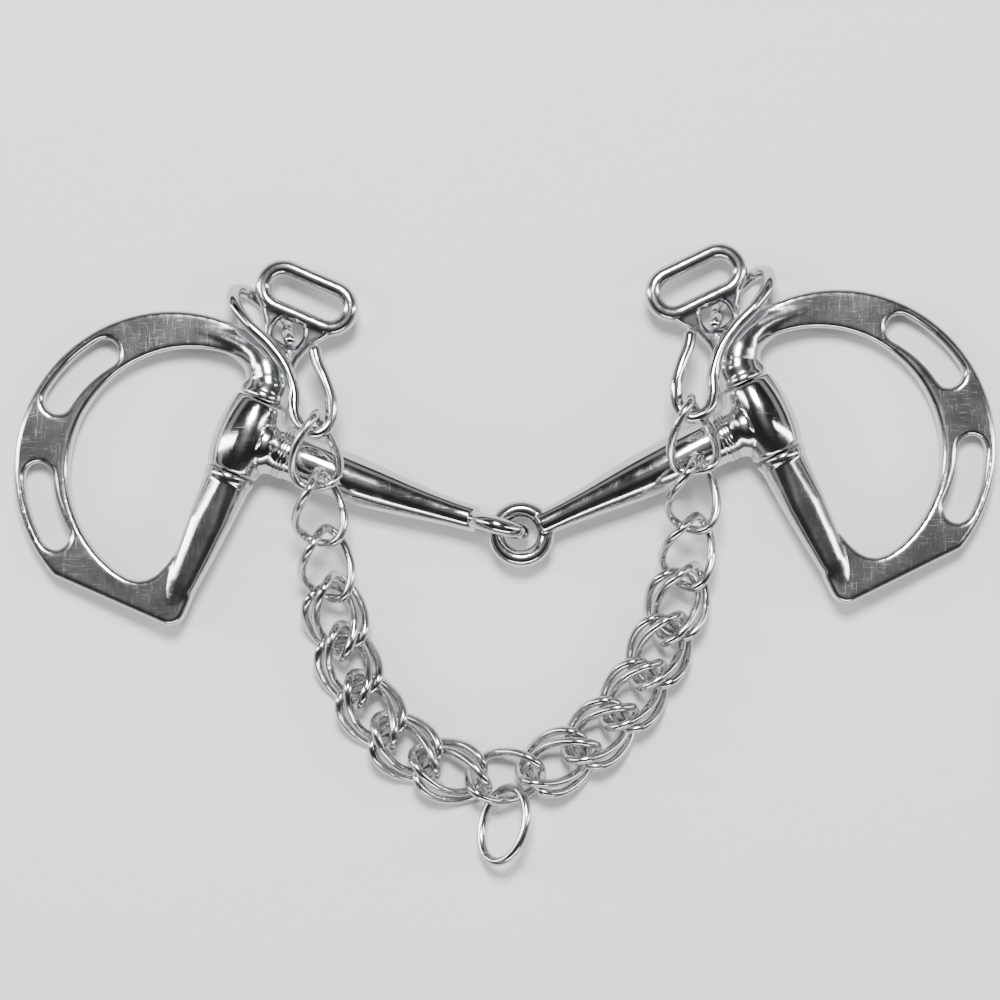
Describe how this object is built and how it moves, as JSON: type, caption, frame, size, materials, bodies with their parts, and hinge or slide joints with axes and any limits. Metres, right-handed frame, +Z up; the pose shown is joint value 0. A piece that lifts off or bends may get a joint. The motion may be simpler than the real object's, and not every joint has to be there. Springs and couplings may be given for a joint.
{
  "type": "slotted-cheek curb bit with jointed mouthpiece and curb chain",
  "caption": "Jointed-mouth curb bit lying flat, with two swivelling slotted D cheeks, headstall eyes, open curb hooks, a double-link curb chain and a fly ring.",
  "frame": {"origin": "middle of the footprint, on the table the bit lies on", "axes": "+X from the left cheek to the right cheek as seen from above, +Y towards the headstall eyes, +Z up from the table"},
  "size_m": [0.252, 0.159, 0.0266],
  "materials": {
    "mouth_steel": "polished stainless steel, fine polishing lines",
    "cheek_steel": "polished cast stainless steel, slightly uneven in the hollows",
    "pin_steel": "plain turned stainless steel",
    "hook_steel": "polished bent stainless wire",
    "chain_steel": "tumbled stainless wire links",
    "ring_steel": "tumbled stainless wire"
  },
  "bodies": {
    "mouth_right": {"mouth_arm_right": "mouth_steel"},
    "mouth_left": {"mouth_arm_left": "mouth_steel"},
    "cheek_right": {"cheek_right": "cheek_steel", "cheek_pin_right": "pin_steel"},
    "hook_right": {"curb_hook_right": "hook_steel"},
    "cheek_left": {"cheek_left": "cheek_steel", "cheek_pin_left": "pin_steel"},
    "hook_left": {"curb_hook_left": "hook_steel"},
    "right_link_1": {"chain_right_link_1": "chain_steel"},
    "right_link_2": {"chain_right_link_2": "chain_steel"},
    "right_link_3": {"chain_right_link_3": "chain_steel"},
    "right_pair_1": {"chain_right_pair_1_a": "chain_steel", "chain_right_pair_1_b": "chain_steel"},
    "right_pair_2": {"chain_right_pair_2_a": "chain_steel", "chain_right_pair_2_b": "chain_steel"},
    "right_pair_3": {"chain_right_pair_3_a": "chain_steel", "chain_right_pair_3_b": "chain_steel"},
    "right_pair_4": {"chain_right_pair_4_a": "chain_steel", "chain_right_pair_4_b": "chain_steel"},
    "right_pair_5": {"chain_right_pair_5_a": "chain_steel", "chain_right_pair_5_b": "chain_steel"},
    "fly_link": {"chain_fly_link": "chain_steel"},
    "left_pair_5": {"chain_left_pair_5_a": "chain_steel", "chain_left_pair_5_b": "chain_steel"},
    "left_pair_4": {"chain_left_pair_4_a": "chain_steel", "chain_left_pair_4_b": "chain_steel"},
    "left_pair_3": {"chain_left_pair_3_a": "chain_steel", "chain_left_pair_3_b": "chain_steel"},
    "left_pair_2": {"chain_left_pair_2_a": "chain_steel", "chain_left_pair_2_b": "chain_steel"},
    "left_pair_1": {"chain_left_pair_1_a": "chain_steel", "chain_left_pair_1_b": "chain_steel"},
    "left_link_3": {"chain_left_link_3": "chain_steel"},
    "left_link_2": {"chain_left_link_2": "chain_steel"},
    "left_link_1": {"chain_left_link_1": "chain_steel"},
    "fly_ring": {"fly_ring": "ring_steel"}
  },
  "joints": [
    {"name": "mouth_joint", "type": "hinge", "parent": "mouth_right", "child": "mouth_left", "pos_m": [0.00411, 0.00555, 0.0085], "axis": [0, 0, 1], "range_deg": [-10, 10]},
    {"name": "cheek_right_swivel", "type": "hinge", "parent": "mouth_right", "child": "cheek_right", "pos_m": [0.06571, 0.03515, 0.0085], "axis": [-0.4384, 0.8988, 0], "range_deg": [-16, 3]},
    {"name": "cheek_left_swivel", "type": "hinge", "parent": "mouth_left", "child": "cheek_left", "pos_m": [-0.06609, 0.03045, 0.0085], "axis": [0.3987, 0.9171, 0], "range_deg": [-3, 16]},
    {"name": "hook_right_swing", "type": "hinge", "parent": "mouth_right", "child": "hook_right", "pos_m": [0.05389, 0.06121, 0.00843], "axis": [0, 0, 1], "range_deg": [-3, 3]},
    {"name": "hook_left_swing", "type": "hinge", "parent": "mouth_left", "child": "hook_left", "pos_m": [-0.05541, 0.057, 0.00843], "axis": [0, 0, 1], "range_deg": [-2, 2]},
    {"name": "chain_right_link_1_hinge", "type": "hinge", "parent": "hook_right", "child": "right_link_1", "pos_m": [0.04719, 0.03847, 0.01988], "axis": [0, 0, 1], "range_deg": [-2, 2]},
    {"name": "chain_right_link_2_hinge", "type": "hinge", "parent": "right_link_1", "child": "right_link_2", "pos_m": [0.0479, 0.02282, 0.0209], "axis": [0, 0, 1], "range_deg": [-2.5, 2.5]},
    {"name": "chain_right_link_3_hinge", "type": "hinge", "parent": "right_link_2", "child": "right_link_3", "pos_m": [0.04738, 0.00817, 0.01526], "axis": [0, 0, 1], "range_deg": [-1.5, 1.5]},
    {"name": "chain_right_pair_1_hinge", "type": "hinge", "parent": "right_link_3", "child": "right_pair_1", "pos_m": [0.04563, -0.00608, 0.00889], "axis": [0, 0, 1], "range_deg": [-2, 2]},
    {"name": "chain_right_pair_2_hinge", "type": "hinge", "parent": "right_pair_1", "child": "right_pair_2", "pos_m": [0.04216, -0.01844, 0.00623], "axis": [0, 0, 1], "range_deg": [-1, 1]},
    {"name": "chain_right_pair_3_hinge", "type": "hinge", "parent": "right_pair_2", "child": "right_pair_3", "pos_m": [0.03685, -0.03039, 0.00606], "axis": [0, 0, 1], "range_deg": [-1.5, 1.5]},
    {"name": "chain_right_pair_4_hinge", "type": "hinge", "parent": "right_pair_3", "child": "right_pair_4", "pos_m": [0.02931, -0.04108, 0.0061], "axis": [0, 0, 1], "range_deg": [-1, 1]},
    {"name": "chain_right_pair_5_hinge", "type": "hinge", "parent": "right_pair_4", "child": "right_pair_5", "pos_m": [0.01963, -0.04987, 0.0061], "axis": [0, 0, 1], "range_deg": [-1, 1]},
    {"name": "chain_fly_link_hinge", "type": "hinge", "parent": "right_pair_5", "child": "fly_link", "pos_m": [0.00796, -0.0558, 0.0061], "axis": [0, 0, 1], "range_deg": [-1, 1]},
    {"name": "chain_left_pair_5_hinge", "type": "hinge", "parent": "fly_link", "child": "left_pair_5", "pos_m": [-0.00782, -0.05735, 0.0061], "axis": [0, 0, 1], "range_deg": [-1, 1]},
    {"name": "chain_left_pair_4_hinge", "type": "hinge", "parent": "left_pair_5", "child": "left_pair_4", "pos_m": [-0.02029, -0.0533, 0.0061], "axis": [0, 0, 1], "range_deg": [-1, 1]},
    {"name": "chain_left_pair_3_hinge", "type": "hinge", "parent": "left_pair_4", "child": "left_pair_3", "pos_m": [-0.03062, -0.04527, 0.0061], "axis": [0, 0, 1], "range_deg": [-1, 1]},
    {"name": "chain_left_pair_2_hinge", "type": "hinge", "parent": "left_pair_3", "child": "left_pair_2", "pos_m": [-0.0379, -0.03442, 0.0061], "axis": [0, 0, 1], "range_deg": [-1, 1]},
    {"name": "chain_left_pair_1_hinge", "type": "hinge", "parent": "left_pair_2", "child": "left_pair_1", "pos_m": [-0.04221, -0.02204, 0.00593], "axis": [0, 0, 1], "range_deg": [-1, 1]},
    {"name": "chain_left_link_3_hinge", "type": "hinge", "parent": "left_pair_1", "child": "left_link_3", "pos_m": [-0.04484, -0.00946, 0.00853], "axis": [0, 0, 1], "range_deg": [-1, 1]},
    {"name": "chain_left_link_2_hinge", "type": "hinge", "parent": "left_link_3", "child": "left_link_2", "pos_m": [-0.04671, 0.00469, 0.01505], "axis": [0, 0, 1], "range_deg": [-1, 1]},
    {"name": "chain_left_link_1_hinge", "type": "hinge", "parent": "hook_left", "child": "left_link_1", "pos_m": [-0.04773, 0.03457, 0.01988], "axis": [0, 0, 1], "range_deg": [-3, 3]},
    {"name": "fly_ring_swing", "type": "hinge", "parent": "fly_link", "child": "fly_ring", "pos_m": [0.00069, -0.06284, 0.0061], "axis": [0, 0, 1], "range_deg": [-4, 4]}
  ],
  "couplings": [
    {"joint": "chain_right_link_1_hinge", "follows": "hook_right_swing", "ratio": -0.5846},
    {"joint": "chain_right_link_2_hinge", "follows": "mouth_joint", "ratio": 0.2177},
    {"joint": "chain_right_link_3_hinge", "follows": "hook_right_swing", "ratio": -0.4064},
    {"joint": "chain_right_pair_1_hinge", "follows": "mouth_joint", "ratio": 0.1702},
    {"joint": "chain_right_pair_2_hinge", "follows": "hook_right_swing", "ratio": -0.2267},
    {"joint": "chain_right_pair_3_hinge", "follows": "mouth_joint", "ratio": 0.126},
    {"joint": "chain_right_pair_4_hinge", "follows": "hook_right_swing", "ratio": -0.0371},
    {"joint": "chain_right_pair_5_hinge", "follows": "mouth_joint", "ratio": 0.0702},
    {"joint": "chain_fly_link_hinge", "follows": "hook_right_swing", "ratio": 0.1433},
    {"joint": "chain_left_pair_5_hinge", "follows": "mouth_joint", "ratio": 0.0045},
    {"joint": "chain_left_pair_4_hinge", "follows": "hook_right_swing", "ratio": 0.2531},
    {"joint": "chain_left_pair_3_hinge", "follows": "mouth_joint", "ratio": -0.0224},
    {"joint": "chain_left_pair_2_hinge", "follows": "hook_right_swing", "ratio": 0.2195},
    {"joint": "chain_left_pair_1_hinge", "follows": "mouth_joint", "ratio": -0.0074},
    {"joint": "chain_left_link_3_hinge", "follows": "hook_right_swing", "ratio": 0.1028},
    {"joint": "chain_left_link_2_hinge", "follows": "mouth_joint", "ratio": 0.0264}
  ]
}
